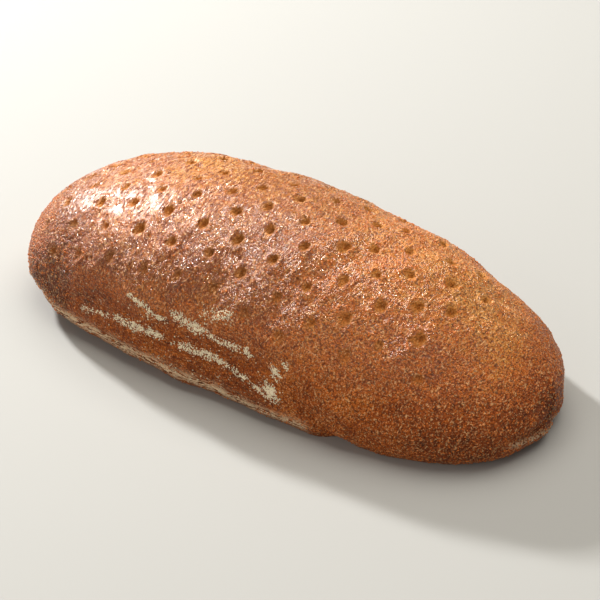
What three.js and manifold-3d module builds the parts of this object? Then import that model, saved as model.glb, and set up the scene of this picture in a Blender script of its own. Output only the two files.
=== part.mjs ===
// A long free-standing rye-wheat loaf, pricked with a docking roller before it was baked.
// Millimetres, +Z up. The loaf's length runs along X and its flat base lies on Z = 0.

import * as THREE from 'three';
import { mergeVertices } from 'three/addons/utils/BufferGeometryUtils.js';
import Module from 'manifold-3d';

// The loaf's form.
const LENGTH = 300;
const WIDTH = 140;
const HEIGHT = 81.5;
const WAIST = 19; // height of the widest level above the base
const BELLY = 32; // depth of the rounded belly under the waist, before the base cuts it flat
const PLAN_SQUARENESS = { left: 2.55, right: 2.3 }; // 2 is an ellipse seen from above
const CROWN_SQUARENESS = { left: 2.06, right: 1.76 }; // the section above the waist
const BELLY_SQUARENESS = { left: 2.3, right: 3 }; // the section below the waist
const ENDS_BLEND = 0.7; // share of the half length over which the left form turns into the right one
const END_FULLNESS = 0.07; // how much fuller the ends are than the middle
const FULLNESS_TURN = 0.3; // squared share of the half length where the ends start to be fuller
const BEND = 4.8; // how far the ends curve towards -Y
const BEND_TURN = 1 / 3; // squared share of the half length where the curve crosses the X axis
const HEIGHT_FALL = 0.044; // the left end is higher by this share, and the right end lower
const CORE_REACH = 80; // half length of the core line that the crust is pushed away from

// Slow swells of the crust: length along the loaf, length around it, phase, height.
const SWELLS = [
  { along: 73, around: 210, phase: 0.8, height: 0.6 },
  { along: 41, around: -66, phase: 2.1, height: 0.35 },
  { along: -29, around: 43, phase: 4.0, height: 0.2 },
];
const GIRTH_RADIUS = 55; // turns an angle around the loaf into a length

// The left front side is pressed flat, where the loaf leaned on a board while it rose.
const FLAT = { depth: 2.2, middle: 27, halfHeight: 20, from: -128, full: -98, fade: 20, to: 62 };

// The rim where side and base crusts meet, with a crease over it. Plan angles are in degrees.
const RIM = { swell: 1.2, height: 6.5, spread: 4.6, crease: 1.2, creaseHeight: 13, creaseSpread: 2.8 };
const RIM_ALL_ROUND = 0.4;
const BULGE = { from: -66, to: -28, blend: 7, swell: 1.6, top: 34 };
const RIGHT_LIP = { from: -27, to: 16, blend: 7, extra: 0.9 };

// A fold beside the bulge, deepest at the rim: points on it as X and height, and its depth and width.
const FOLD = { start: [65, 0], end: [46, 22], depth: 4.5, endDepth: 1, spread: 6.5, endSpread: 2.6 };

// The docking pits, in rows along the loaf. Angles are in degrees from the top, towards +Y.
const PIT_PITCH = 22.7;
const FIRST_PIT = 1.5; // station of the pit in the middle of the middle row
const ROWS = { first: -3, last: 5 };
const ROW_ANGLE = 12.6;
const MIDDLE_ROW_ANGLE = -20;
const ROW_STAGGER = 10.7;
const RUN = 100; // the roller ran slightly askew: the drifts below are for each run of this length
const ROW_SLANT = -13.5;
const ROW_BOW = -10.6;
const ROW_SPREAD = 3.1;
const END_CROWDING = 1.4; // how much closer the pits stand towards the ends
const STAGGER_SPREAD = 2.7;
const PITTED = { left: -134, right: 106, low: -68, high: 62 };
const PIT_SHAKE = { along: 1.1, around: 1.2 };
const PIT_SIZE = { least: 0.8, spread: 0.35 };
const PIT_DEPTH = 3.6;
const PIT_MOUTH = 2.7;
const PIT_FLOOR = { radius: 0.55, depth: 0.72 }; // as shares of the mouth and the depth
const PIT_FLARE = { radius: 1.35, height: 0.5 };
const PIT_SIDES = 7;
const SEED = 7;

// The mesh that the crust is drawn on, and the block that cuts the base flat.
const CELLS = { length: 44, width: 18, height: 17 };
const ROW_CROWDING = 1.3; // more rows near the base, where the rim is
const CUTTER_HEIGHT = 30;
const CUTTER_MARGIN = 20;
const SEARCH_STEPS = 16; // rounds that find a station on the crust

const CRUST = { color: '#a2613a', roughness: 0.55, metalness: 0 };

const rad = THREE.MathUtils.degToRad;
const smooth = THREE.MathUtils.smoothstep;
const random = seededRandom(SEED);

function seededRandom(seed) {
  let state = seed;
  return () => {
    state = (state * 16807) % 2147483647;
    return state / 2147483647;
  };
}

function bell(distance, spread) {
  return Math.exp(-((distance / spread) ** 2));
}

function band(value, { from, to, blend }) {
  return smooth(value, from - blend, from + blend) * (1 - smooth(value, to - blend, to + blend));
}

function middleLine(x) {
  const share = x / (LENGTH / 2);
  return -BEND * (share ** 2 - BEND_TURN);
}

// The plain loaf: a rounded form whose squareness changes from the left end to the right end.
function plainLoaf(direction) {
  const halfLength = LENGTH / 2;
  const halfWidth = WIDTH / 2;
  const halfHeight = direction.z > 0 ? HEIGHT - WAIST : BELLY;
  const sx = direction.x / halfLength;
  const sy = direction.y / halfWidth;
  const sz = direction.z / halfHeight;
  const rightShare = smooth(sx / Math.hypot(sx, sy, sz), -ENDS_BLEND, ENDS_BLEND);
  const section = direction.z > 0 ? CROWN_SQUARENESS : BELLY_SQUARENESS;
  const plan = THREE.MathUtils.lerp(PLAN_SQUARENESS.left, PLAN_SQUARENESS.right, rightShare);
  const rise = THREE.MathUtils.lerp(section.left, section.right, rightShare);
  const outline = Math.abs(sx) ** plan + Math.abs(sy) ** plan;
  const reach = (outline ** (rise / plan) + Math.abs(sz) ** rise) ** (-1 / rise);
  const point = direction.clone().multiplyScalar(reach);
  const share = point.x / halfLength;
  point.y = point.y * (1 + END_FULLNESS * (share ** 2 - FULLNESS_TURN)) + middleLine(point.x);
  point.z = (point.z + WAIST) * (1 - HEIGHT_FALL * share);
  return point;
}

// The way out of the loaf at a point, away from a core line along its length.
function wayOut(point) {
  const coreX = THREE.MathUtils.clamp(point.x, -CORE_REACH, CORE_REACH);
  return new THREE.Vector3(point.x - coreX, point.y - middleLine(point.x), point.z - WAIST).normalize();
}

function swell(point) {
  const around = GIRTH_RADIUS * Math.atan2(point.y - middleLine(point.x), point.z - WAIST);
  let height = 0;
  for (const wave of SWELLS) {
    const turn = point.x / wave.along + around / wave.around;
    height += wave.height * Math.sin(2 * Math.PI * turn + wave.phase);
  }
  return height;
}

function flatSide(point) {
  const above = (point.z - FLAT.middle) / FLAT.halfHeight;
  if (Math.abs(above) > 1 || point.y > 0) return 0;
  const along = smooth(point.x, FLAT.from, FLAT.full) * (1 - smooth(point.x, FLAT.fade, FLAT.to));
  return -FLAT.depth * (1 - above ** 2) ** 2 * along;
}

function rim(point) {
  const planAngle = THREE.MathUtils.radToDeg(Math.atan2(point.y / WIDTH, point.x / LENGTH));
  const bulging = band(planAngle, BULGE);
  const strength = RIM_ALL_ROUND * (1 - bulging) + RIGHT_LIP.extra * band(planAngle, RIGHT_LIP);
  const lip = RIM.swell * bell(point.z - RIM.height, RIM.spread);
  const crease = RIM.crease * bell(point.z - RIM.creaseHeight, RIM.creaseSpread);
  const bulge = BULGE.swell * bulging * (1 - smooth(point.z, BULGE.top / 2, BULGE.top));
  return strength * (lip - crease) + bulge;
}

// The fold runs up and left from the rim, on the front side only.
function fold(point) {
  if (point.y > 0) return 0;
  const start = new THREE.Vector3(FOLD.start[0], 0, FOLD.start[1]);
  const end = new THREE.Vector3(FOLD.end[0], 0, FOLD.end[1]);
  const line = new THREE.Line3(start, end);
  const place = new THREE.Vector3(point.x, 0, point.z);
  const run = line.closestPointToPointParameter(place, true);
  const away = line.at(run, new THREE.Vector3()).distanceTo(place);
  const depth = THREE.MathUtils.lerp(FOLD.depth, FOLD.endDepth, run);
  return -depth * bell(away, THREE.MathUtils.lerp(FOLD.spread, FOLD.endSpread, run));
}

function crustPoint(direction) {
  const point = plainLoaf(direction);
  const offset = swell(point) + flatSide(point) + rim(point) + fold(point);
  return point.addScaledVector(wayOut(point), offset);
}

// The crust's point at a station along the loaf and an angle around it.
function crustAt(station, angle) {
  const direction = new THREE.Vector3(station, WAIST * Math.sin(rad(angle)), WAIST * Math.cos(rad(angle)));
  for (let step = 0; step < SEARCH_STEPS; step += 1) {
    direction.x *= Math.abs(station / plainLoaf(direction).x);
  }
  return crustPoint(direction);
}

function toSolid(wasm, geometry) {
  const bare = geometry.clone();
  bare.deleteAttribute('normal');
  bare.deleteAttribute('uv');
  const merged = mergeVertices(bare, 1e-4);
  const vertProperties = new Float32Array(merged.attributes.position.array);
  const triVerts = new Uint32Array(merged.index.array);
  return new wasm.Manifold(new wasm.Mesh({ numProp: 3, vertProperties, triVerts }));
}

function toGeometry(solid) {
  const mesh = solid.getMesh();
  const geometry = new THREE.BufferGeometry();
  geometry.setAttribute('position', new THREE.BufferAttribute(mesh.vertProperties, 3));
  geometry.setIndex(new THREE.BufferAttribute(mesh.triVerts, 1));
  geometry.computeVertexNormals();
  return geometry;
}

function crustGeometry() {
  const crown = HEIGHT - WAIST;
  const depth = crown + BELLY;
  const block = new THREE.BoxGeometry(LENGTH, WIDTH, depth, CELLS.length, CELLS.width, CELLS.height);
  const places = block.attributes.position;
  for (let index = 0; index < places.count; index += 1) {
    const direction = new THREE.Vector3().fromBufferAttribute(places, index);
    const share = direction.z / depth + 0.5;
    direction.z = -BELLY + depth * share ** ROW_CROWDING;
    places.setXYZ(index, ...crustPoint(direction));
  }
  return block;
}

function baseCutter() {
  const cutter = new THREE.BoxGeometry(LENGTH + CUTTER_MARGIN, WIDTH + CUTTER_MARGIN * 2, CUTTER_HEIGHT);
  return cutter.translate(0, 0, -CUTTER_HEIGHT / 2);
}

// A pit is a small tapered cup, open along the way out of the crust.
function pitGeometry(place, size) {
  const depth = PIT_DEPTH * size;
  const mouth = PIT_MOUTH * size;
  const profile = [
    new THREE.Vector2(0, -depth),
    new THREE.Vector2(mouth * PIT_FLOOR.radius, -depth * PIT_FLOOR.depth),
    new THREE.Vector2(mouth * PIT_FLARE.radius, depth * PIT_FLARE.height),
    new THREE.Vector2(0, depth * PIT_FLARE.height),
  ];
  const cup = new THREE.LatheGeometry(profile, PIT_SIDES);
  const upright = new THREE.Vector3(0, 1, 0);
  const turn = new THREE.Quaternion().setFromUnitVectors(upright, wayOut(place));
  return cup.applyQuaternion(turn).translate(place.x, place.y, place.z);
}

// A random number about 0, mostly well inside -2 and 2.
function shake() {
  return 2 * (random() + random() - 1);
}

function pitPlaces() {
  const places = [];
  const reach = Math.ceil(LENGTH / PIT_PITCH / 2) + Math.max(ROWS.last, -ROWS.first);
  for (let row = ROWS.first; row <= ROWS.last; row += 1) {
    for (let column = -reach; column <= reach; column += 1) {
      const run = (PIT_PITCH * column - ROW_STAGGER * row) / RUN;
      const crowding = STAGGER_SPREAD * row * run - END_CROWDING * run ** 3;
      const station = FIRST_PIT + RUN * run + crowding + PIT_SHAKE.along * shake();
      const share = station / RUN;
      const drift = ROW_SLANT * share + (ROW_BOW + ROW_SPREAD * row) * share ** 2;
      const angle = MIDDLE_ROW_ANGLE + ROW_ANGLE * row + drift + PIT_SHAKE.around * shake();
      const size = PIT_SIZE.least + PIT_SIZE.spread * random();
      const inLength = station > PITTED.left && station < PITTED.right;
      const inGirth = angle > PITTED.low && angle < PITTED.high;
      if (inLength && inGirth) places.push({ point: crustAt(station, angle), size });
    }
  }
  return places;
}

async function loafMesh() {
  const wasm = await Module();
  wasm.setup();
  let loaf = toSolid(wasm, crustGeometry()).subtract(toSolid(wasm, baseCutter()));
  for (const { point, size } of pitPlaces()) {
    loaf = loaf.subtract(toSolid(wasm, pitGeometry(point, size)));
  }
  const geometry = toGeometry(loaf);
  geometry.computeBoundingBox();
  const middle = geometry.boundingBox.getCenter(new THREE.Vector3());
  geometry.translate(-middle.x, -middle.y, 0);
  const mesh = new THREE.Mesh(geometry, new THREE.MeshStandardMaterial(CRUST));
  mesh.name = 'rye_wheat_loaf';
  return mesh;
}

const group = new THREE.Group();
group.add(await loafMesh());

export default group;
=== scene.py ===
"""A long free-standing rye-wheat loaf: glossy wrinkled crust, docking pits and a floury pressed side.

Shapes are worked out in millimetres, in the loaf's own frame: its length runs along X, its flat base
lies on Z = 0 and its pressed side faces -Y. They become metres when a piece is finished. Each mark on
the crust is a function of a point of the plain loaf, which says how far the crust is pushed out there.
"""

import math
import random

import bmesh
import bpy
from mathutils import Matrix, Vector, noise
from mathutils.bvhtree import BVHTree
from mathutils.kdtree import KDTree


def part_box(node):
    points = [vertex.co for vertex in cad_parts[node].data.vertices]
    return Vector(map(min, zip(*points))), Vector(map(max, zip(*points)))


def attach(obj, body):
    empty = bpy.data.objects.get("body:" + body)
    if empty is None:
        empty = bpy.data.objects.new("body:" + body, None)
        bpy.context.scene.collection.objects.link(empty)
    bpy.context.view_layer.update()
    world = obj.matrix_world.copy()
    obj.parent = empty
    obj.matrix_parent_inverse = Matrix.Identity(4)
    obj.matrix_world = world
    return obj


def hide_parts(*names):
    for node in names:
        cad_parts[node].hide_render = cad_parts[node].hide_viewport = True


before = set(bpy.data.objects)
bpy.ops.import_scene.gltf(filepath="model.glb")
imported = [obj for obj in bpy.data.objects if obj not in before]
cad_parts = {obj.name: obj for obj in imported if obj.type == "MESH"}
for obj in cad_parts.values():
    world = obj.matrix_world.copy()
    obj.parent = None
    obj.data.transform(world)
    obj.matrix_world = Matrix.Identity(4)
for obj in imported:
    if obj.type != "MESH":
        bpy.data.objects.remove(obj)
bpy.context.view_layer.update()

MM = 0.001
LOAF_NODE = "rye_wheat_loaf"

# The loaf's form.
LENGTH = 300
WIDTH = 140
HEIGHT = 81.5
WAIST = 19  # height of the widest level above the base
BELLY = 32  # depth of the rounded belly under the waist, before the base cuts it flat
PLAN_SQUARENESS = (2.55, 2.3)  # left end, right end: 2 is an ellipse seen from above
CROWN_SQUARENESS = (2.06, 1.76)  # the section above the waist
BELLY_SQUARENESS = (2.3, 3.0)  # the section below the waist
ENDS_BLEND = 0.7  # share of the half length over which the left form turns into the right one
END_FULLNESS = 0.07  # how much fuller the ends are than the middle
FULLNESS_TURN = 0.3  # squared share of the half length where the ends start to be fuller
BEND = 4.8  # how far the ends curve towards -Y
BEND_TURN = 1 / 3  # squared share of the half length where the curve crosses the X axis
HEIGHT_FALL = 0.044  # the left end is higher by this share, and the right end lower
CORE_REACH = 80  # half length of the core line that the crust is pushed away from

# Slow swells of the crust: length along the loaf, length around it, phase, height.
SWELLS = ((73, 210, 0.8, 0.6), (41, -66, 2.1, 0.35), (-29, 43, 4.0, 0.2))
GIRTH_RADIUS = 55  # turns an angle around the loaf into a length

# The left front side was pressed flat while the loaf rose.
FLAT_DEPTH = 2.2
FLAT_MIDDLE = 27
FLAT_HALF_HEIGHT = 20
FLAT_FROM, FLAT_FULL, FLAT_FADE, FLAT_TO = -128, -98, 20, 62

# The rim where side and base crusts meet, with a crease over it. Plan angles are in degrees.
RIM_SWELL, RIM_HEIGHT, RIM_SPREAD = 1.2, 6.5, 4.6
CREASE_DEPTH, CREASE_HEIGHT, CREASE_SPREAD = 1.2, 13, 2.8
RIM_ALL_ROUND = 0.4
BULGE_BAND = (-66, -28, 7)  # from, to, blend
BULGE_SWELL, BULGE_TOP = 1.6, 34
RIGHT_LIP_BAND = (-27, 16, 7)
RIGHT_LIP_EXTRA = 0.9

# A fold beside the bulge, deepest at the rim: its ends as X and height.
FOLD_START, FOLD_END = (65, 0), (46, 22)
FOLD_DEPTH, FOLD_END_DEPTH = 4.5, 1
FOLD_SPREAD, FOLD_END_SPREAD = 6.5, 2.6

# The docking pits, in rows along the loaf. Angles are in degrees from the top, towards +Y.
PIT_PITCH = 22.7
FIRST_PIT = 1.5  # station of the pit in the middle of the middle row
FIRST_ROW, LAST_ROW = -3, 5
ROW_ANGLE = 12.6
MIDDLE_ROW_ANGLE = -20
ROW_STAGGER = 10.7
RUN = 100  # the roller ran slightly askew: the drifts below are for each run of this length
ROW_SLANT = -13.5
ROW_BOW = -10.6
ROW_SPREAD = 3.1
END_CROWDING = 1.4  # how much closer the pits stand towards the ends
STAGGER_SPREAD = 2.7
PITTED_STATIONS = (-134, 106)
PITTED_ANGLES = (-68, 62)
PIT_SHAKE_ALONG, PIT_SHAKE_AROUND = 1.1, 1.2
PIT_SIZE_LEAST, PIT_SIZE_SPREAD = 0.8, 0.35
PIT_SEED = 7
DRAW_FACTOR, DRAW_ROUND = 16807, 2147483647  # a well-known pair of numbers for even random draws
SEARCH_STEPS = 16  # rounds that find a station on the crust

# How each pit is shaped: a pin goes in slanting, so its floor is deepest on the side towards +Y.
PIT_MOUTH = 4.3
PIT_BOWL_DEPTH = 1.1
PIT_SHAFT_DEPTH = 1.8
PIT_SHAFT_RADIUS = 0.52  # share of the mouth
PIT_LEAN = (0.55, 0.6)  # along the loaf and uphill
PIT_STRETCH = 0.84  # the mouth is longer around the loaf than along it
PIT_LIP = 0.4
PIT_REACH = 7
PIT_BOWL_SLOPE, PIT_FLOOR_FADE = (0.1, 1), (0.55, 1.05)  # from and to, as shares of the mouth
PIT_SHAFT_SLOPE = (0.1, 1.1)  # shares of the shaft's radius
PIT_LIP_PLACE, PIT_LIP_WIDTH = 1.15, 0.3  # shares of the mouth
PIT_WOBBLE, PIT_WOBBLE_LENGTH = 0.35, 3
PIT_CLOSING_ANGLE = (-64, -34)  # pits low on the front side are pressed nearly shut
PIT_CLOSING_STATION = (92, 130)  # and so are those towards the right end
PIT_LEAST_OPEN = 0.45

# The mesh: cuts along, across and up the block that the crust is drawn on.
CUTS_ALONG, CUTS_ACROSS, CUTS_UP = 349, 82, 58
BLOCK_TURN_ALONG = math.radians(58)  # how far the block's long faces reach towards the ends
BLOCK_TURN = math.radians(45)
BLOCK_FLOOR = -0.4  # the block reaches 1 above the waist and this far below it
FLOOR_MARGIN = 1.03  # the lowest row lies just under the base, which then cuts it
FINE_RADIUS = 4.1  # the mesh is cut finer this close to a pit
SAME_PLACE = 1e-5  # an edge whose ends differ by less than this along an axis doesn't run along it

# The underside: cut into square cells, slightly uneven and thinly floured.
BASE_CELL = 5
BASE_RELIEF, BASE_RELIEF_LENGTH = 0.35, 9
BASE_FLOUR = 0.55
ON_BASE, LEVEL_NORMAL = 1e-4, 0.99  # a face this low, and this nearly level, is part of the base


def smooth(value, low, high):
    share = min(max((value - low) / (high - low), 0), 1)
    return share * share * (3 - 2 * share)


def blend(first, second, share):
    return first + (second - first) * share


def bell(distance, spread):
    return math.exp(-((distance / spread) ** 2))


def band(value, start, end, width):
    return smooth(value, start - width, start + width) * (1 - smooth(value, end - width, end + width))


def middle_line(x):
    share = x / (LENGTH / 2)
    return -BEND * (share**2 - BEND_TURN)


def squareness(sx, sy, sz):
    """How square the loaf is in plan and in section, in a direction given as shares of its half sizes."""
    right = smooth(sx / math.sqrt(sx * sx + sy * sy + sz * sz), -ENDS_BLEND, ENDS_BLEND)
    section = CROWN_SQUARENESS if sz > 0 else BELLY_SQUARENESS
    return blend(*PLAN_SQUARENESS, right), blend(*section, right)


def plain_loaf(direction):
    """The plain loaf's surface in a direction from the middle of its waist."""
    sx = direction.x / (LENGTH / 2)
    sy = direction.y / (WIDTH / 2)
    sz = direction.z / (HEIGHT - WAIST if direction.z > 0 else BELLY)
    plan, rise = squareness(sx, sy, sz)
    outline = abs(sx) ** plan + abs(sy) ** plan
    reach = (outline ** (rise / plan) + abs(sz) ** rise) ** (-1 / rise)
    point = direction * reach
    share = point.x / (LENGTH / 2)
    point.y = point.y * (1 + END_FULLNESS * (share**2 - FULLNESS_TURN)) + middle_line(point.x)
    point.z = (point.z + WAIST) * (1 - HEIGHT_FALL * share)
    return point


def way_out(point):
    """The way out of the loaf at a point, away from a core line along its length."""
    core_x = min(max(point.x, -CORE_REACH), CORE_REACH)
    return Vector((point.x - core_x, point.y - middle_line(point.x), point.z - WAIST)).normalized()


def swell(point):
    around = GIRTH_RADIUS * math.atan2(point.y - middle_line(point.x), point.z - WAIST)
    height = 0
    for wave_along, wave_around, phase, wave_height in SWELLS:
        turn = point.x / wave_along + around / wave_around
        height += wave_height * math.sin(2 * math.pi * turn + phase)
    return height


def flat_side(point):
    above = (point.z - FLAT_MIDDLE) / FLAT_HALF_HEIGHT
    if abs(above) > 1 or point.y > 0:
        return 0
    along = smooth(point.x, FLAT_FROM, FLAT_FULL) * (1 - smooth(point.x, FLAT_FADE, FLAT_TO))
    return -FLAT_DEPTH * (1 - above**2) ** 2 * along


def rim(point):
    plan_angle = math.degrees(math.atan2(point.y / WIDTH, point.x / LENGTH))
    bulging = band(plan_angle, *BULGE_BAND)
    strength = RIM_ALL_ROUND * (1 - bulging) + RIGHT_LIP_EXTRA * band(plan_angle, *RIGHT_LIP_BAND)
    lip = RIM_SWELL * bell(point.z - RIM_HEIGHT, RIM_SPREAD)
    crease = CREASE_DEPTH * bell(point.z - CREASE_HEIGHT, CREASE_SPREAD)
    bulge = BULGE_SWELL * bulging * (1 - smooth(point.z, BULGE_TOP / 2, BULGE_TOP))
    return strength * (lip - crease) + bulge


def nearest_on(start, end, place):
    """How far along a line from start to end its nearest point to a place is, and how far away."""
    line = end - start
    run = min(max((place - start).dot(line) / line.length_squared, 0), 1)
    return run, (start + line * run - place).length


def fold(point):
    """The fold runs up and left from the rim, on the front side only."""
    if point.y > 0:
        return 0
    run, away = nearest_on(Vector(FOLD_START), Vector(FOLD_END), Vector((point.x, point.z)))
    depth = blend(FOLD_DEPTH, FOLD_END_DEPTH, run)
    return -depth * bell(away, blend(FOLD_SPREAD, FOLD_END_SPREAD, run))


def crust_at(station, angle):
    """The plain loaf's point at a station along it and an angle around it."""
    turn = math.radians(angle)
    direction = Vector((station, WAIST * math.sin(turn), WAIST * math.cos(turn)))
    for _ in range(SEARCH_STEPS):
        direction.x *= abs(station / plain_loaf(direction).x)
    return plain_loaf(direction)


class Pit:
    """One docking pit: where it is, its way out, how large it is and how open."""

    def __init__(self, station, angle, size):
        self.place = crust_at(station, angle)
        self.out = way_out(self.place)
        self.size = size
        across = Vector((0, 1, 0))
        self.uphill = (across - self.out * across.dot(self.out)).normalized()
        self.along = self.uphill.cross(self.out)  # towards the right end
        shut_low = 1 - smooth(angle, *PIT_CLOSING_ANGLE)
        shut_right = smooth(station, *PIT_CLOSING_STATION)
        self.open = blend(1, PIT_LEAST_OPEN, max(shut_low, shut_right))

    def relief(self, point):
        """How far the crust is pushed out at a point near the pit, and how much of a pit floor it is."""
        gap = point - self.place
        along = gap.dot(self.along) / PIT_STRETCH
        up = gap.dot(self.uphill)
        wobble = 1 + PIT_WOBBLE * noise.noise(point / PIT_WOBBLE_LENGTH)
        mouth = PIT_MOUTH * self.size
        from_middle = math.hypot(along, up) * wobble / mouth
        lean_along, lean_up = PIT_LEAN
        from_shaft = math.hypot(along - lean_along * self.size, up - lean_up * self.size)
        from_shaft *= wobble / (mouth * PIT_SHAFT_RADIUS)
        bowl = 1 - smooth(from_middle, *PIT_BOWL_SLOPE)
        shaft = 1 - smooth(from_shaft, *PIT_SHAFT_SLOPE)
        lip = bell(from_middle - PIT_LIP_PLACE, PIT_LIP_WIDTH)
        depth = self.size * (PIT_BOWL_DEPTH * bowl + PIT_SHAFT_DEPTH * shaft)
        floor = 1 - smooth(from_middle, *PIT_FLOOR_FADE)
        return self.open * (PIT_LIP * lip - depth), self.open * floor


def docking_pits():
    draw = random_numbers(PIT_SEED)
    pits = []
    reach = math.ceil(LENGTH / PIT_PITCH / 2) + max(LAST_ROW, -FIRST_ROW)
    for row in range(FIRST_ROW, LAST_ROW + 1):
        for column in range(-reach, reach + 1):
            run = (PIT_PITCH * column - ROW_STAGGER * row) / RUN
            crowding = STAGGER_SPREAD * row * run - END_CROWDING * run**3
            shake_along = 2 * (next(draw) + next(draw) - 1)
            station = FIRST_PIT + RUN * run + crowding + PIT_SHAKE_ALONG * shake_along
            share = station / RUN
            drift = ROW_SLANT * share + (ROW_BOW + ROW_SPREAD * row) * share**2
            shake_around = 2 * (next(draw) + next(draw) - 1)
            angle = MIDDLE_ROW_ANGLE + ROW_ANGLE * row + drift + PIT_SHAKE_AROUND * shake_around
            size = PIT_SIZE_LEAST + PIT_SIZE_SPREAD * next(draw)
            in_length = PITTED_STATIONS[0] < station < PITTED_STATIONS[1]
            in_girth = PITTED_ANGLES[0] < angle < PITTED_ANGLES[1]
            if in_length and in_girth:
                pits.append(Pit(station, angle, size))
    return pits


def random_numbers(seed):
    """Even random numbers from 0 to 1, the same in every run."""
    state = seed
    while True:
        state = state * DRAW_FACTOR % DRAW_ROUND
        yield state / DRAW_ROUND


# Wrinkles: ridges with these lengths along X, Y and Z, bent by a slow noise.
PUCKER_HEIGHT = 0.34
PUCKER_WIDTH, PUCKER_LENGTH, PUCKER_RISE = 1.7, 6.5, 3.5
PUCKER_WARP, PUCKER_WARP_LENGTH = 2.6, 11
PUCKER_SEED = 1  # noise_vector is drawn anew in every run unless it has a seed
PUCKER_MEAN = 0.6  # taken off, so that the wrinkles leave the loaf's size as it is
PUCKER_FALL = 0.75  # share by which they are lower towards the right, and low on the front
PUCKER_FALL_STATIONS, PUCKER_FALL_HEIGHTS = (-10, 70), (34, 50)

# Lumps of the dough, and the smaller pebbles where coarse meal lies in the crust.
LUMP_HEIGHT, LUMP_LENGTH = 0.5, 7
PEBBLE_HEIGHT, PEBBLE_LENGTH = 0.34, 1.6
CROWN_PEBBLES = 0.35  # share of the pebbles' height on the smooth crown
MEALY_STATIONS, MEALY_HEIGHTS = (-60, 60), (42, 66)

# Gloss: full on the crown, less on the shoulder of the left end, and least at the foot.
GLOSS_HEIGHTS = (26, 58)
GLOSS_LEAST = 0.06
LEFT_END_GLOSS = 0.5
LEFT_END_STATIONS, LEFT_END_HEIGHTS = (-100, -40), (16, 40)
GLOSS_FALL, GLOSS_FALL_STATIONS = 0.15, (-70, 0)  # share by which it is less on the right

# Blistered beads on the front shoulder, packed side by side.
BEAD_HEIGHT, BEAD_LENGTH = 0.8, 2.1
BEAD_MEAN = 0.5  # this far from a bead's middle, in bead lengths, it is level with the plain crust
BEADY_BAND = (17, 62, 8)  # heights from and to, blend
BEADY_STATIONS = (10, 60)

# Where the pressed side is rubbed smooth: its left end, right end and top, each from and to.
PRESSED_LEFT, PRESSED_RIGHT, PRESSED_TOP = (-110, -80), (20, 60), (34, 46)

# Single marks: a blister, burst bubbles, a crack seen from above, and a split in the right end.
BLISTER, BLISTER_RADIUS, BLISTER_HEIGHT = Vector((137, -10, 43)), 2.4, 0.5
BLISTER_EDGE = 0.4  # width of its raised ring, as a share of its radius
BUBBLES = ((Vector((97, -23, 66)), 1.5), (Vector((113, -18, 60)), 1.1), (Vector((116, -15, 59)), 1.2))
BUBBLE_DEPTH = 0.9  # share of a bubble's radius
CRACK = (Vector((-57, -26)), Vector((-44, -17)))
CRACK_DEPTH, CRACK_WIDTH, CRACK_WANDER_LENGTH = 0.7, 0.6, 3
SPLIT = (Vector((147, -9, 26)), Vector((148, -8, 17)))
SPLIT_DEPTH, SPLIT_WIDTH = 0.9, 0.8


def puckered(point):
    """How wrinkled the crust is: most on the left half of the crown, least low on the front."""
    along = 1 - PUCKER_FALL * smooth(point.x, *PUCKER_FALL_STATIONS)
    low = 1 - smooth(point.z, *PUCKER_FALL_HEIGHTS) if point.y < 0 else 0
    return along * (1 - PUCKER_FALL * low)


def puckers(point):
    warp = noise.noise_vector(point / PUCKER_WARP_LENGTH) * PUCKER_WARP
    place = Vector((
        (point.x + warp.x) / PUCKER_WIDTH,
        (point.y + warp.y) / PUCKER_LENGTH,
        (point.z + warp.z) / PUCKER_RISE,
    ))
    ridge = 1 - 2 * abs(noise.noise(place))
    return PUCKER_HEIGHT * puckered(point) * (ridge - PUCKER_MEAN)


def mealy(point):
    """How rough with coarse meal the crust is: smooth on the left of the crown."""
    right = smooth(point.x, *MEALY_STATIONS)
    low = 1 - smooth(point.z, *MEALY_HEIGHTS) if point.y < 0 else 0
    return 1 - (1 - right) * (1 - low)


def lumps(point):
    lump = LUMP_HEIGHT * noise.noise(point / LUMP_LENGTH)
    pebble = PEBBLE_HEIGHT * blend(CROWN_PEBBLES, 1, mealy(point)) * noise.noise(point / PEBBLE_LENGTH)
    return lump + pebble


def glossy(point):
    """How glossy the crust is: most on the left of the crown, half so on the left end's shoulder."""
    crown = smooth(point.z, *GLOSS_HEIGHTS)
    if point.x < 0:
        left_end = 1 - smooth(point.x, *LEFT_END_STATIONS)
        crown = max(crown, LEFT_END_GLOSS * left_end * smooth(point.z, *LEFT_END_HEIGHTS))
    return blend(GLOSS_LEAST, 1, crown) * (1 - GLOSS_FALL * smooth(point.x, *GLOSS_FALL_STATIONS))


def beads(point):
    """Blistered beads on the front shoulder, from the left end to past the middle."""
    if point.y > 0:
        return 0
    beady = band(point.z, *BEADY_BAND) * (1 - smooth(point.x, *BEADY_STATIONS))
    distances, _ = noise.voronoi(point / BEAD_LENGTH)
    return BEAD_HEIGHT * beady * (BEAD_MEAN - distances[0])


def pressed(point):
    """How much the crust is rubbed smooth where it was pressed flat."""
    if point.y > 0:
        return 0
    along = smooth(point.x, *PRESSED_LEFT) * (1 - smooth(point.x, *PRESSED_RIGHT))
    return along * (1 - smooth(point.z, *PRESSED_TOP))


def smaller_marks(point):
    """A blister and a split in the right end, a hair crack on the crown and three burst bubbles."""
    ring = (point - BLISTER).length - BLISTER_RADIUS
    height = BLISTER_HEIGHT * bell(ring, BLISTER_RADIUS * BLISTER_EDGE)
    for place, radius in BUBBLES:
        height -= radius * BUBBLE_DEPTH * bell((point - place).length, radius)
    if point.z > WAIST:
        wander = Vector((0, noise.noise(point / CRACK_WANDER_LENGTH)))
        _, away = nearest_on(*CRACK, point.xy + wander)
        height -= CRACK_DEPTH * bell(away, CRACK_WIDTH)
    _, away = nearest_on(*SPLIT, point)
    return height - SPLIT_DEPTH * bell(away, SPLIT_WIDTH)


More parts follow.
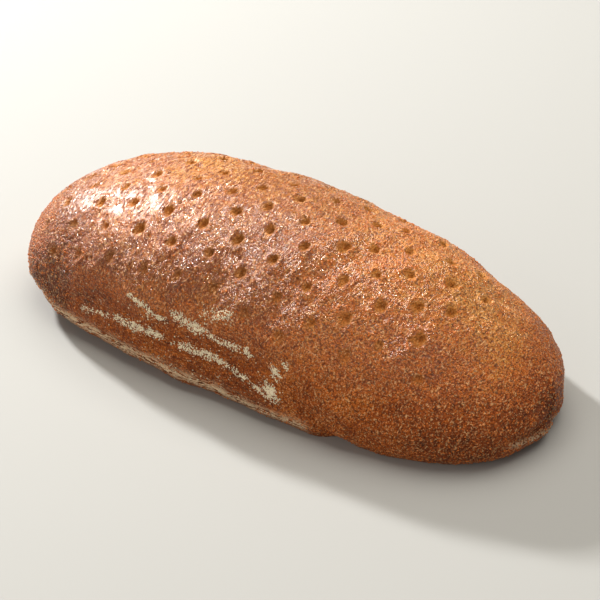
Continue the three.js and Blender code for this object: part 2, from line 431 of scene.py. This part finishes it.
# Flour that clings to the pressed side: each streak as X and height of its points, half width, strength.
STREAKS = (
    (((-86, 22), (-77, 24), (-68, 25)), 1.8, 0.6),
    (((-63, 26), (-48, 27), (-35, 27)), 2.4, 0.95),
    (((-55, 42), (-42, 39), (-33, 36)), 1.7, 0.95),
    (((-43, 38), (-42, 34)), 1.2, 0.6),
    (((-27, 41), (-18, 39), (-10, 38)), 2.6, 1.0),
    (((-10, 38), (0, 36), (11, 36)), 1.8, 0.8),
    (((14, 36.5), (17, 35)), 1.9, 1.0),
    (((-23, 26), (-7, 27), (3, 25)), 2.3, 0.9),
    (((3, 25), (15, 22), (31, 17)), 1.5, 0.85),
    (((31, 33), (34, 30)), 2.5, 0.95),
    (((29, 23), (33, 18)), 4.0, 1.0),
    (((36, 38), (38, 36)), 1.6, 0.7),
    (((-10, 46), (2, 50)), 3.6, 0.45),
)
STREAK_WANDER, STREAK_WANDER_LENGTH = 1.6, 5
DUSTING = 0.1  # thin flour all over the pressed side


def streak_cover(point):
    """How thick the flour lies at a point of the pressed side, from 0 to 1."""
    if point.y > 0:
        return 0
    cover = DUSTING * pressed(point)
    wander = STREAK_WANDER * noise.noise(point / STREAK_WANDER_LENGTH)
    place = Vector((point.x, point.z + wander))
    for points, half_width, strength in STREAKS:
        for start, end in zip(points, points[1:]):
            _, away = nearest_on(Vector(start), Vector(end), place)
            cover = max(cover, strength * bell(away, half_width))
    return cover


# The floury skirt: thin flakes of dough along the foot of the pressed side, as X and height of its line.
SKIRT = ((-132, 15), (-104, 11.5), (-67, 10.5), (-21, 8.5), (20, 6.5), (48, 6))
SKIRT_HALF_WIDTH = 3.2
SKIRT_TOP = 30  # above this height there is none of it
SKIRT_LEAST = 0.01  # nor where it would be weaker than this
SKIRT_HEIGHT, SKIRT_PITCH = 0.7, 3.4  # two ridges this far apart with a crease between them
SKIRT_WANDER, SKIRT_WANDER_LENGTH = 1.2, 7
FLAKE_HEIGHT, FLAKE_UNEVENNESS, FLAKE_LENGTH = 0.6, 0.8, 4  # shares of the ridges' height, and length
FLAKE_SLICE = 5  # height at which the noise that breaks the ridges into flakes is taken

# The thin lip under the right end.
RIGHT_LIP = (Vector((141, -38, 12)), Vector((146, -23, 10)), Vector((149, -7, 8)), Vector((147, 7, 8)))
RIGHT_LIP_HALF_WIDTH = 1.3
RIGHT_LIP_FADE = 6


def skirt_place(point):
    """How far a point lies above the skirt's line, and how strong the skirt is there."""
    if point.x > RIGHT_LIP[0].x - RIGHT_LIP_FADE:
        return right_lip_place(point)
    if point.y > 0 or point.z > SKIRT_TOP:
        return 0, 0
    place = Vector((point.x, point.z))
    nearest = None
    for start, end in zip(SKIRT, SKIRT[1:]):
        start, end = Vector(start), Vector(end)
        run, away = nearest_on(start, end, place)
        if nearest is None or away < abs(nearest):
            nearest = away if place.y > (start + (end - start) * run).y else -away
    return nearest, bell(nearest, SKIRT_HALF_WIDTH)


def right_lip_place(point):
    """The same for the thin lip under the right end."""
    nearest, above = RIGHT_LIP_FADE, 0
    for start, end in zip(RIGHT_LIP, RIGHT_LIP[1:]):
        run, away = nearest_on(start, end, point)
        if away < nearest:
            nearest, above = away, point.z - start.lerp(end, run).z
    return above, bell(nearest, RIGHT_LIP_HALF_WIDTH)


def skirt_strength(point):
    return skirt_place(point)[1]


def skirt_relief(point):
    above, strength = skirt_place(point)
    if strength < SKIRT_LEAST:
        return 0
    above += SKIRT_WANDER * noise.noise(point / SKIRT_WANDER_LENGTH)
    flake = noise.noise(Vector((point.x / FLAKE_LENGTH, 0, FLAKE_SLICE)))
    ragged = FLAKE_HEIGHT + FLAKE_UNEVENNESS * flake
    return SKIRT_HEIGHT * strength * ragged * math.cos(2 * math.pi * above / SKIRT_PITCH)


# Broad patches baked darker (above 0) or lighter: place, radius, strength. The dark patches on the front
# side and at the foot are partly painted shade, and the light ones on the crown are partly painted light.
BAKED_AND_SHADED_PATCHES = (
    ((-115, -45, 26), 30, 0.8),
    ((-60, -45, 58), 34, 0.25),
    ((0, -40, 62), 30, 0.25),
    ((100, -30, 55), 26, 0.15),
    ((122, -52, 15), 30, 0.4),
    ((147, 0, 14), 24, 0.6),
    ((126, -14, 44), 16, -0.2),
    ((75, 20, 66), 36, -0.25),
    ((-60, 25, 70), 45, -0.35),
    ((20, 45, 60), 34, -0.25),
    ((108, 8, 56), 28, -0.6),
    ((1, 6, 79), 24, -0.2),
)
SIDE_BAKE_AND_SHADE, SIDE_BAKE_AND_SHADE_HEIGHTS = 0.42, (20, 62)  # the sides are darker than the crown: partly baking, partly painted shade


def baked_and_shaded(point):
    """How dark the crust is, from about -0.5 to 1: its baking, with painted shade low on the sides and
    front and painted light on the crown.
    """
    bake = SIDE_BAKE_AND_SHADE * (1 - smooth(point.z, *SIDE_BAKE_AND_SHADE_HEIGHTS))
    for place, radius, strength in BAKED_AND_SHADED_PATCHES:
        bake += strength * bell((point - Vector(place)).length, radius)
    return bake


# What the crust's finish reads at each point of the mesh, beside how much of a pit's floor it is.
CRUST_MEASURES = {
    "flour": streak_cover,
    "mealy": mealy,
    "pressed": pressed,
    "bake": baked_and_shaded,
    "skirt": skirt_strength,
    "gloss": glossy,
}


def warped(share, turn):
    """Spreads even steps of a block's face evenly over the round form behind it."""
    return math.tan(share * turn)


def base_level(sx, sy):
    """The direction, as a share of the belly's depth, in which the plain loaf meets its base."""
    plan, rise = squareness(sx, sy, -WAIST / BELLY)
    left = (WAIST / BELLY) ** rise
    outline = abs(sx) ** plan + abs(sy) ** plan
    return -((left / (1 - left)) ** (1 / rise)) * outline ** (1 / plan)


def from_block(corner):
    """The plain loaf's point behind a point of the block."""
    sx = warped(corner.x, BLOCK_TURN_ALONG)
    sy = warped(corner.y, BLOCK_TURN)
    if corner.z > 0:
        z = warped(corner.z, BLOCK_TURN) * (HEIGHT - WAIST)
    else:
        z = corner.z / BLOCK_FLOOR * base_level(sx, sy) * FLOOR_MARGIN * BELLY
    return plain_loaf(Vector((sx * LENGTH / 2, sy * WIDTH / 2, z)))


def cut_along(bm, axis, cuts):
    """Cuts every edge that runs along one axis of the block."""
    edges = [e for e in bm.edges if abs((e.verts[0].co - e.verts[1].co)[axis]) > SAME_PLACE]
    bmesh.ops.subdivide_edges(bm, edges=edges, cuts=cuts, use_grid_fill=True)


def cut_block():
    """The block that the crust is drawn on, cut into a grid and open below."""
    bm = bmesh.new()
    bmesh.ops.create_cube(bm, size=2)
    for vert in bm.verts:
        vert.co.z = max(vert.co.z, BLOCK_FLOOR)
    underside = [f for f in bm.faces if f.normal.z < -0.5]
    bmesh.ops.delete(bm, geom=underside, context="FACES")
    for axis, cuts in enumerate((CUTS_ALONG, CUTS_ACROSS, CUTS_UP)):
        cut_along(bm, axis, cuts)
    return bm


def close_base(bm):
    """Cuts the loaf flat at Z = 0 and closes it there with a slightly uneven, floured base."""
    geometry = bm.verts[:] + bm.edges[:] + bm.faces[:]
    bmesh.ops.bisect_plane(bm, geom=geometry, plane_co=(0, 0, 0), plane_no=(0, 0, -1), clear_outer=True)
    edge = [e for e in bm.edges if e.is_boundary]
    base = bmesh.ops.contextual_create(bm, geom=edge)["faces"]
    for axis, half_size in ((0, LENGTH / 2), (1, WIDTH / 2)):
        normal = Vector((axis == 0, axis == 1, 0))
        last = math.floor(half_size / BASE_CELL)
        for step in range(-last, last + 1):
            edges = list({e for f in base for e in f.edges})
            verts = list({v for f in base for v in f.verts})
            place = normal * step * BASE_CELL
            bmesh.ops.bisect_plane(bm, geom=verts + edges + base, plane_co=place, plane_no=normal)
            low = [f for f in bm.faces if f.calc_center_median().z < ON_BASE]
            base = [f for f in low if abs(f.normal.z) > LEVEL_NORMAL]
    flour_layer = bm.verts.layers.float["flour"]
    for vert in {v for f in base for v in f.verts}:
        if all(f in base for f in vert.link_faces):
            vert.co.z = BASE_RELIEF * (0.5 + 0.5 * noise.noise(vert.co / BASE_RELIEF_LENGTH))
            vert[flour_layer] = BASE_FLOUR


def loaf_crust():
    noise.seed_set(PUCKER_SEED)
    bm = cut_block()
    pits = docking_pits()
    finder = KDTree(len(pits))
    for index, pit in enumerate(pits):
        finder.insert(pit.place, index)
    finder.balance()

    for vert in bm.verts:
        vert.co = from_block(vert.co)
    near = {v for v in bm.verts if finder.find(v.co)[2] < FINE_RADIUS}
    edges = [e for e in bm.edges if e.verts[0] in near and e.verts[1] in near]
    bmesh.ops.subdivide_edges(bm, edges=edges, cuts=1, use_grid_fill=True)

    layers = {name: bm.verts.layers.float.new(name) for name in ("pit", *CRUST_MEASURES)}
    for vert in bm.verts:
        point = vert.co.copy()
        pushed = swell(point) + flat_side(point) + rim(point) + fold(point)
        pushed += puckers(point) + lumps(point) + beads(point)
        pushed += smaller_marks(point) + skirt_relief(point)
        for _, index, _ in finder.find_range(point, PIT_REACH):
            height, floor = pits[index].relief(point)
            pushed += height
            vert[layers["pit"]] = max(vert[layers["pit"]], floor)
        for name, measure in CRUST_MEASURES.items():
            vert[layers[name]] = measure(point)
        vert.co = point + way_out(point) * pushed
    close_base(bm)
    bmesh.ops.recalc_face_normals(bm, faces=bm.faces)
    return bm


def shift_to_frame(bm):
    """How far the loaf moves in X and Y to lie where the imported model's loaf does."""
    low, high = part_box(LOAF_NODE)
    middle = (low + high) / 2 / MM
    xs = [v.co.x for v in bm.verts]
    ys = [v.co.y for v in bm.verts]
    return Vector((middle.x - (min(xs) + max(xs)) / 2, middle.y - (min(ys) + max(ys)) / 2, 0))


def finished(name, bm, material):
    """Turns a shape in millimetres into an object in metres."""
    bmesh.ops.scale(bm, vec=(MM, MM, MM), verts=bm.verts)
    for face in bm.faces:
        face.smooth = True
    mesh = bpy.data.meshes.new(name)
    bm.to_mesh(mesh)
    bm.free()
    mesh.materials.append(material)
    piece = bpy.data.objects.new(name, mesh)
    bpy.context.scene.collection.objects.link(piece)
    return piece


# Grains of coarse flour along the streaks.
FLOUR_SEED = 12
FLOUR_PER_SQUARE_MM = 4.2
FLOUR_RADIUS, FLOUR_WIDTH, FLOUR_HEIGHT = (0.2, 0.5), (0.6, 1), 0.7  # the last two as shares of the radius
FLOUR_SPREAD = 0.45  # share of a streak's half width
FLOUR_OVERRUN = 0.05  # share of a streak's length by which its grains reach past its ends
FLOUR_STAND = 0.25  # how far a grain's middle stands out of the crust, as a share of its radius
CLUMP_LENGTH = 2.2
CLUMP_LEVELS = (-0.25, 0.4)  # a grain stays where the clumps' noise is over a level drawn between these

# Grains of meal baked into the crust, where it is mealy, outside the pits and clear of the base.
MEAL_SEED = 4
MEAL_GRAINS = 9500
MEAL_RADIUS = (0.3, 0.75)
MEAL_WIDTH, MEAL_HEIGHT, MEAL_SINK = (0.55, 1), (0.5, 0.8), 0.12  # shares of the radius
MEAL_SHAKE = 0.5  # how far a grain may lie off its point of the mesh, along each axis
MEAL_LOWEST, MEAL_DEEPEST_PIT = 1.5, 0.15  # height, and share of a pit's floor
SMOOTH_MEAL = 0.25  # share of the meal that is there on the smooth crown
RUBBED_OFF = 0.8  # share of the meal that is rubbed off the pressed side
BATCH = 400  # grains are put together in batches, which is quicker than one by one


def grain_radius(draw, smallest, largest):
    """A radius that is oftener small than large."""
    return draw.triangular(smallest, largest, smallest)


def lay_grain(bm, place, normal, turn, half_sizes):
    """Adds a rounded grain that lies on a surface, with its last half size away from the surface."""
    stand = normal.to_track_quat("Z", "Y").to_matrix().to_4x4()
    size = Matrix.Diagonal((*half_sizes, 1))
    matrix = Matrix.Translation(place) @ stand @ Matrix.Rotation(turn, 4, "Z") @ size
    bmesh.ops.create_icosphere(bm, subdivisions=1, radius=1, matrix=matrix)


def flour_along(bm, draw, crust_tree, start, end, half_width, strength):
    """Strews flour along one line of a streak, in clumps."""
    area = ((end - start).length + half_width) * half_width * 2
    for _ in range(round(area * FLOUR_PER_SQUARE_MM * strength)):
        place = start.lerp(end, draw.uniform(-FLOUR_OVERRUN, 1 + FLOUR_OVERRUN))
        place += Vector((draw.gauss(0, 1), draw.gauss(0, 1))) * half_width * FLOUR_SPREAD
        before = Vector((place.x, -WIDTH, place.y))
        hit, normal, _, _ = crust_tree.ray_cast(before, Vector((0, 1, 0)))
        if hit is None or noise.noise(hit / CLUMP_LENGTH) < draw.uniform(*CLUMP_LEVELS):
            continue
        radius = grain_radius(draw, *FLOUR_RADIUS)
        turn = draw.uniform(0, math.tau)
        width = radius * draw.uniform(*FLOUR_WIDTH)
        stand = normal * radius * FLOUR_STAND
        lay_grain(bm, hit + stand, normal, turn, (radius, width, radius * FLOUR_HEIGHT))


def flour_grains(crust_shape):
    """Single grains of coarse flour that stand on the crust along the streaks."""
    crust_tree = BVHTree.FromBMesh(crust_shape)
    draw = random.Random(FLOUR_SEED)
    bm = bmesh.new()
    for points, half_width, strength in STREAKS:
        for start, end in zip(points, points[1:]):
            flour_along(bm, draw, crust_tree, Vector(start), Vector(end), half_width, strength)
    return bm


def meal_grains(crust_shape):
    """Coarse meal baked into the crust: low rounded grains, most where the crust is mealy."""
    draw = random.Random(MEAL_SEED)
    layers = crust_shape.verts.layers.float
    pit_layer, mealy_layer, pressed_layer = layers["pit"], layers["mealy"], layers["pressed"]
    verts = [v for v in crust_shape.verts if v.co.z > MEAL_LOWEST and v[pit_layer] < MEAL_DEEPEST_PIT]
    weights = []
    for vert in verts:
        share = blend(SMOOTH_MEAL, 1, vert[mealy_layer]) * (1 - RUBBED_OFF * vert[pressed_layer])
        weights.append(share * vert.link_faces[0].calc_area())
    chosen = draw.choices(verts, weights=weights, k=MEAL_GRAINS)
    grains = bmesh.new()
    for first in range(0, MEAL_GRAINS, BATCH):
        batch = bmesh.new()
        for vert in chosen[first:first + BATCH]:
            radius = grain_radius(draw, *MEAL_RADIUS)
            shake = Vector([draw.uniform(-MEAL_SHAKE, MEAL_SHAKE) for _ in range(3)])
            turn = draw.uniform(0, math.tau)
            width = radius * draw.uniform(*MEAL_WIDTH)
            height = radius * draw.uniform(*MEAL_HEIGHT)
            place = vert.co + shake - shake.project(vert.normal) - vert.normal * radius * MEAL_SINK
            lay_grain(batch, place, vert.normal, turn, (radius, width, height))
        add_shape(grains, batch)
    return grains


def add_shape(whole, part):
    """Moves a part's mesh into the whole."""
    carrier = bpy.data.meshes.new("carrier")
    part.to_mesh(carrier)
    part.free()
    whole.from_mesh(carrier)
    bpy.data.meshes.remove(carrier)


# Dusted flour: cells of grains gathered in clumps. The pairs are where a mask starts and is full.
DUST_GRAIN, DUST_CLUMP = 0.9, 2.6
DUST_COVER, DUST_CLUMPING, DUST_SCATTER = 1.15, 1.2, 0.9
DUST_SPOT, DUST_COVERED, DUST_THINNEST = (0.62, 0.42), (0.1, 0.2), (0.03, 0.1)


class Value:
    """A number that varies over a surface. Its operators add Math nodes."""

    def __init__(self, finish, socket):
        self.finish = finish
        self.socket = socket

    def maths(self, operation, *others):
        return self.finish.maths(operation, self, *others)

    def __add__(self, other):
        return self.maths("ADD", other)

    def __sub__(self, other):
        return self.maths("SUBTRACT", other)

    def __rsub__(self, other):
        return self.finish.maths("SUBTRACT", other, self)

    def __mul__(self, other):
        return self.maths("MULTIPLY", other)

    __radd__ = __add__
    __rmul__ = __mul__


class Finish:
    """A material being made, and the few ways its nodes are added."""

    def __init__(self, name):
        self.material = bpy.data.materials.new(name)
        self.material.use_nodes = True
        self.tree = self.material.node_tree
        self.tree.nodes.clear()
        metres = self.node("ShaderNodeTexCoord").outputs["Object"]
        scaled = self.node("ShaderNodeVectorMath", {"operation": "SCALE"}, {0: metres, "Scale": 1 / MM})
        self.place = scaled.outputs[0]

    def node(self, kind, settings=None, sockets=None):
        """Adds a node of a kind, gives it its settings and then the values or links of its sockets."""
        made = self.tree.nodes.new(kind)
        for name, setting in (settings or {}).items():
            if name == "stops":
                set_stops(made.color_ramp, setting)
            else:
                setattr(made, name, setting)
        for name, value in (sockets or {}).items():
            if isinstance(value, Value):
                value = value.socket
            if isinstance(value, bpy.types.NodeSocket):
                self.tree.links.new(value, made.inputs[name])
            else:
                made.inputs[name].default_value = value
        return made

    def maths(self, operation, *numbers):
        made = self.node("ShaderNodeMath", {"operation": operation}, dict(enumerate(numbers)))
        return Value(self, made.outputs[0])

    def attribute(self, name):
        made = self.node("ShaderNodeAttribute", {"attribute_name": name})
        return Value(self, made.outputs["Fac"])

    def stretched(self, lengths, warp=0, warp_length=10):
        """The place on the surface, in steps of a length along each of X, Y and Z, bent by a slow noise."""
        place = self.place
        if warp:
            drift = self.node("ShaderNodeTexNoise", None, {"Vector": place, "Scale": 1 / warp_length})
            centred = self.vector("SUBTRACT", drift.outputs["Color"], (0.5, 0.5, 0.5))
            place = self.vector("MULTIPLY_ADD", centred, (2 * warp,) * 3, place)
        return self.vector("DIVIDE", place, lengths)

    def vector(self, operation, *vectors):
        made = self.node("ShaderNodeVectorMath", {"operation": operation}, dict(enumerate(vectors)))
        return made.outputs[0]

    def noise(self, lengths, detail=2, rough=0.5, warp=0, warp_length=10):
        """Noise from 0 to 1 with features of a length in millimetres, or of one for each axis."""
        if not isinstance(lengths, tuple):
            lengths = (lengths,) * 3
        place = self.stretched(lengths, warp, warp_length)
        sockets = {"Vector": place, "Scale": 1, "Detail": detail, "Roughness": rough}
        return Value(self, self.node("ShaderNodeTexNoise", None, sockets).outputs[0])

    def cells(self, length):
        """Cells of a length: how far off each one's middle is, and a chance from 0 to 1 for each one."""
        place = self.stretched((length,) * 3)
        made = self.node("ShaderNodeTexVoronoi", None, {"Vector": place, "Scale": 1})
        chance = self.node("ShaderNodeSeparateColor", None, {0: made.outputs["Color"]}).outputs[0]
        return Value(self, made.outputs["Distance"]), Value(self, chance)

    def flecks(self, length, radius, share):
        """Round flecks of a radius, a length apart, of which only a share is there, as a mask."""
        distance, chance = self.cells(length)
        edge = radius / length
        return self.step(distance, edge, edge * 0.5) * chance.maths("LESS_THAN", share)

    def dust(self, thickness):
        """A mask of clumped flour grains: thick flour covers nearly all, thin flour is single grains."""
        distance, chance = self.cells(DUST_GRAIN)
        clump = (self.noise(DUST_CLUMP, rough=0.6) - 0.5) * DUST_CLUMPING
        cover = thickness * DUST_COVER + clump - chance * DUST_SCATTER
        spot = self.step(distance, *DUST_SPOT)
        return spot * self.step(cover, *DUST_COVERED) * self.step(thickness, *DUST_THINNEST)

    def pebbles(self, length):
        """Rounded grains packed side by side, as a height from 0 to 1."""
        place = self.stretched((length,) * 3, warp=0.4, warp_length=1.5)
        sockets = {"Vector": place, "Scale": 1, "Smoothness": 0.35}
        made = self.node("ShaderNodeTexVoronoi", {"feature": "SMOOTH_F1"}, sockets)
        return 1 - Value(self, made.outputs["Distance"])

    def step(self, value, low, high):
        """A smooth step from 0 to 1 between two values, or from 1 to 0 where low is above high."""
        if low < high:
            ends = (low, high, 0, 1)
        else:
            ends = (high, low, 1, 0)
        sockets = {"Value": value}
        sockets.update(zip(("From Min", "From Max", "To Min", "To Max"), ends))
        made = self.node("ShaderNodeMapRange", {"interpolation_type": "SMOOTHSTEP"}, sockets)
        return Value(self, made.outputs[0])

    def mix(self, share, first, second):
        made = self.node("ShaderNodeMix", {"data_type": "RGBA"}, {0: share, 6: first, 7: second})
        return made.outputs[2]

    def layered(self, tone, layers):
        """A tone with layers over it, each a mask and a colour."""
        for mask, tint in layers:
            tone = self.mix(mask, tone, tint)
        return tone

    def ramp(self, value, stops):
        return self.node("ShaderNodeValToRGB", {"stops": stops}, {0: value}).outputs[0]

    def shader(self, sockets):
        return self.node("ShaderNodeBsdfPrincipled", None, sockets).outputs[0]

    def surface(self, shader):
        """Ends the material with its shader."""
        self.node("ShaderNodeOutputMaterial", None, {"Surface": shader})
        return self.material

    def surface_of_two(self, share, first, second):
        """Ends the material with two shaders, of which the second has a share."""
        shaders = {1: self.shader(first), 2: self.shader(second)}
        return self.surface(self.node("ShaderNodeMixShader", None, {0: share, **shaders}).outputs[0])


def set_stops(ramp, stops):
    """Gives a colour ramp its stops, each a place from 0 to 1 and a colour."""
    while len(ramp.elements) < len(stops):
        ramp.elements.new(0.5)
    for element, (place, tint) in zip(ramp.elements, stops):
        element.position = place
        element.color = tint


def colour(red, green, blue):
    return (red, green, blue, 1)


# Linear colours: the crust from light to dark, then the painted shade of its gaps, its pits, flakes, meal
# and flour. The darkest colour also serves as painted shade, and the pale one as painted highlight.
LIGHT_GOLD = colour(0.95, 0.44, 0.11)
GOLDEN = colour(0.80, 0.29, 0.038)
BROWN = colour(0.64, 0.17, 0.022)
RED_BROWN = colour(0.42, 0.09, 0.013)
DARK_AND_SHADE = colour(0.09, 0.018, 0.005)
UMBER_SHADE = colour(0.24, 0.05, 0.009)
OLIVE = colour(0.56, 0.22, 0.035)
PALE_AND_HIGHLIGHT = colour(1.0, 0.64, 0.31)
TAN = colour(1.0, 0.74, 0.47)
ROSY = colour(0.82, 0.40, 0.17)
FLOUR = colour(1.0, 0.90, 0.64)
COARSE_FLOUR = colour(0.9, 0.75, 0.5), colour(1.0, 0.93, 0.74)
FLOOR_GREY = colour(0.42, 0.43, 0.425)
BAKE_AND_SHADE_TONES = ((0, LIGHT_GOLD), (0.18, GOLDEN), (0.42, BROWN), (0.68, RED_BROWN), (1.0, DARK_AND_SHADE))
MEAL_BAKING = ((0.32, RED_BROWN), (0.52, BROWN), (0.74, ROSY), (0.92, PALE_AND_HIGHLIGHT))

# How strongly the finishes mirror, from 0 to 1, and the clear coat on the smooth crown.
CRUST_GLOSS = 0.8
DULL_GLOSS = 0.12
MEAL_GLOSS = 0.3
COAT, COAT_ROUGHNESS = 0.62, 0.4


def crust_finish():
    """Glossy baked crust: browner and redder patches, golden flecks, dull ochre pits, dusted flour, with
    painted shade in its gaps, cracks, pores and lower sides, and painted highlight on the wrinkles' crests
    and flecks.

    First come the patterns, then the tone in layers, the fine relief and the gloss. Lengths are in
    millimetres, and the shares beside the masks are how strong each of them shows.
    """
    finish = Finish("glossy_crust")
    pit = finish.attribute("pit")
    meal = finish.attribute("mealy")
    rubbed = finish.attribute("pressed")
    skirt = finish.attribute("skirt")
    shine = 1 - meal
    shoulder = meal * shine * 4  # most where the smooth crown turns into the mealy sides

    patches = finish.noise(24, detail=3, rough=0.55)
    mottle = finish.noise(4.5, detail=3, rough=0.6)
    grain = finish.noise(0.9, rough=0.6)
    wrinkles = finish.noise((1.0, 2.3, 1.3), detail=3, rough=0.6, warp=1.6, warp_length=5)
    beads = finish.pebbles(1.0)
    furrows = finish.noise((1.0, 4.2, 2), rough=0.6, warp=1.5, warp_length=6)
    dashes = finish.step(furrows, 0.46, 0.39) * (1 - rubbed) * (shine * 0.75 + 0.25)
    smears = finish.noise((9, 1.2, 1.2), rough=0.6, warp=1, warp_length=9)
    flakes = finish.noise((7, 0.9, 0.9), detail=3, rough=0.65, warp=1, warp_length=6)
    flecks = finish.flecks(0.85, 0.37, 0.5)
    pores = finish.flecks(1.3, 0.36, 0.3)
    dust = finish.dust(finish.attribute("flour"))

    # How dark the tone is: baking, mottle and smears, with painted shade low on the front and sides and
    # painted light on the crown.
    bake = finish.attribute("bake") * 0.5 + patches * 0.6 + mottle * 0.6 + grain * 0.9 - 0.65
    bake = bake + (smears - 0.5) * rubbed * 1.3
    tone = finish.layered(finish.ramp(bake, BAKE_AND_SHADE_TONES), (
        # Pale flecks: partly pale grains, partly painted glints.
        (flecks * (meal * 0.3 + 0.25), PALE_AND_HIGHLIGHT),
        # Painted highlight on the wrinkles' crests.
        (finish.step(wrinkles, 0.54, 0.66) * (0.55 - 0.4 * rubbed), PALE_AND_HIGHLIGHT),
        # Painted shade in the gaps between the beads.
        (finish.step(beads, 0.5, 0.25) * meal * 0.7, DARK_AND_SHADE),
        # Painted shade in the wrinkles' furrows, strongest on the shoulder.
        (finish.step(wrinkles, 0.46, 0.36) * (0.75 + 0.2 * shoulder - 0.2 * meal), UMBER_SHADE),
        # Painted shade in the grooves between the smears.
        (finish.step(smears, 0.46, 0.38) * rubbed * 0.85, UMBER_SHADE),
        # Painted shade in the cracks.
        (dashes * 0.9, UMBER_SHADE),
        # Painted shade in the sunken pores.
        (pores * 0.8, DARK_AND_SHADE),
        (pit * 0.55, OLIVE),
        (skirt * finish.step(flakes, 0.44, 0.52), TAN),
        # Painted shade between the skirt's flakes.
        (skirt * finish.step(flakes, 0.42, 0.34) * 0.9, DARK_AND_SHADE),
        (dust, FLOUR),
    ))

    ridges = finish.step(wrinkles, 0.36, 0.62)
    height = beads * meal * 0.9 + ridges * (0.65 + 0.8 * shoulder - 0.3 * meal) + skirt * flakes * 2
    height = height + grain * (meal * 0.3 + 0.15) + mottle * 0.3 + smears * rubbed * 1.2
    height = height + flecks * 0.25 - dashes * 0.4 - pores * 0.3 + dust * 0.3
    bump = finish.node("ShaderNodeBump", None, {"Strength": 1, "Distance": MM, "Height": height})

    shared = {
        "Base Color": tone,
        "Roughness": 0.23 + meal * 0.12 + pit * 0.3 + dashes * 0.3 + (mottle - 0.5) * 0.2,
        "Normal": bump.outputs[0],
        "Coat Weight": shine * COAT * (1 - pit) * (1 - dashes),
        "Coat Roughness": COAT_ROUGHNESS,
    }
    dull = {**shared, "Specular IOR Level": DULL_GLOSS}
    glossy_crown = {**shared, "Specular IOR Level": CRUST_GLOSS}
    share = finish.attribute("gloss") * (1 - pit * 0.7) * (1 - dust) * (1 - dashes * 0.8)
    return finish.surface_of_two(share, dull, glossy_crown)


def meal_finish():
    """Baked meal grains, from red-brown to pale gold."""
    finish = Finish("baked_meal")
    tone = finish.ramp(finish.noise(1.6, rough=0.7), MEAL_BAKING)
    sockets = {"Base Color": tone, "Roughness": 0.4, "Specular IOR Level": MEAL_GLOSS}
    return finish.surface(finish.shader(sockets))


def flour_finish():
    """Dull flour, from cream to nearly white."""
    finish = Finish("coarse_flour")
    tone = finish.mix(finish.noise(1.2), *COARSE_FLOUR)
    return finish.surface(finish.shader({"Base Color": tone, "Roughness": 0.9}))


def floor_finish():
    finish = Finish("pale_floor")
    return finish.surface(finish.shader({"Base Color": FLOOR_GREY, "Roughness": 0.8}))


FLOOR_REACH = 3000  # from its middle to its edges


def studio_floor():
    bm = bmesh.new()
    bmesh.ops.create_grid(bm, x_segments=1, y_segments=1, size=FLOOR_REACH)
    finished("studio_floor", bm, floor_finish())


# The camera stands in front of the loaf and to its right. Its places are in metres.
CAMERA_PLACE = Vector((0.45006, -0.69423, 0.60189))
CAMERA_AIM = Vector((0.007935, -0.004635, 0.02831))
LENS_MM = 119.06
SENSOR_MM = 36

# The studio's lamps: the way to each from the loaf, how far off and how large in metres, watts and tint.
LAMPS = (
    ("key", (-0.82, 0.285, 0.495), 1.8, (0.14, 0.14), 50, (1.0, 0.97, 0.93)),
    ("overhead", (-0.02, 0.24, 0.97), 1.5, (1.8, 1.5), 25, (1.0, 0.93, 0.83)),
    ("front", (-0.1, -0.9, 0.42), 1.8, (1.6, 1.2), 9, (1.0, 0.93, 0.85)),
)
ROOM_TINT, ROOM_STRENGTH = colour(1.0, 0.93, 0.84), 0.18


def photo_camera():
    data = bpy.data.cameras.new("camera")
    data.lens = LENS_MM
    data.sensor_width = SENSOR_MM
    camera = bpy.data.objects.new("camera", data)
    camera.location = CAMERA_PLACE
    camera.rotation_euler = (CAMERA_PLACE - CAMERA_AIM).to_track_quat("Z", "Y").to_euler()
    bpy.context.scene.collection.objects.link(camera)
    bpy.context.scene.camera = camera


def soft_light(name, toward, distance, size, power, tint):
    data = bpy.data.lights.new(name, "AREA")
    data.shape = "RECTANGLE"
    data.size, data.size_y = size
    data.energy = power
    data.color = tint
    lamp = bpy.data.objects.new(name, data)
    direction = Vector(toward).normalized()
    lamp.location = direction * distance
    lamp.rotation_euler = direction.to_track_quat("Z", "Y").to_euler()
    bpy.context.scene.collection.objects.link(lamp)


def studio_light():
    for lamp in LAMPS:
        soft_light(*lamp)
    world = bpy.data.worlds.new("room")
    world.use_nodes = True
    background = world.node_tree.nodes["Background"]
    background.inputs["Color"].default_value = ROOM_TINT
    background.inputs["Strength"].default_value = ROOM_STRENGTH
    bpy.context.scene.world = world
    bpy.context.scene.view_settings.view_transform = "Standard"


def dress_loaf():
    shape = loaf_crust()
    shift = shift_to_frame(shape)
    grains = flour_grains(shape)
    meal = meal_grains(shape)
    for bm in (shape, grains, meal):
        bmesh.ops.translate(bm, vec=shift, verts=bm.verts)
    crust = finished("loaf_crust", shape, crust_finish())
    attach(crust, "root")
    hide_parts(LOAF_NODE)
    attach(finished("flour_grains", grains, flour_finish()), "root")
    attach(finished("meal_grains", meal, meal_finish()), "root")


photo_camera()
studio_light()
studio_floor()
dress_loaf()
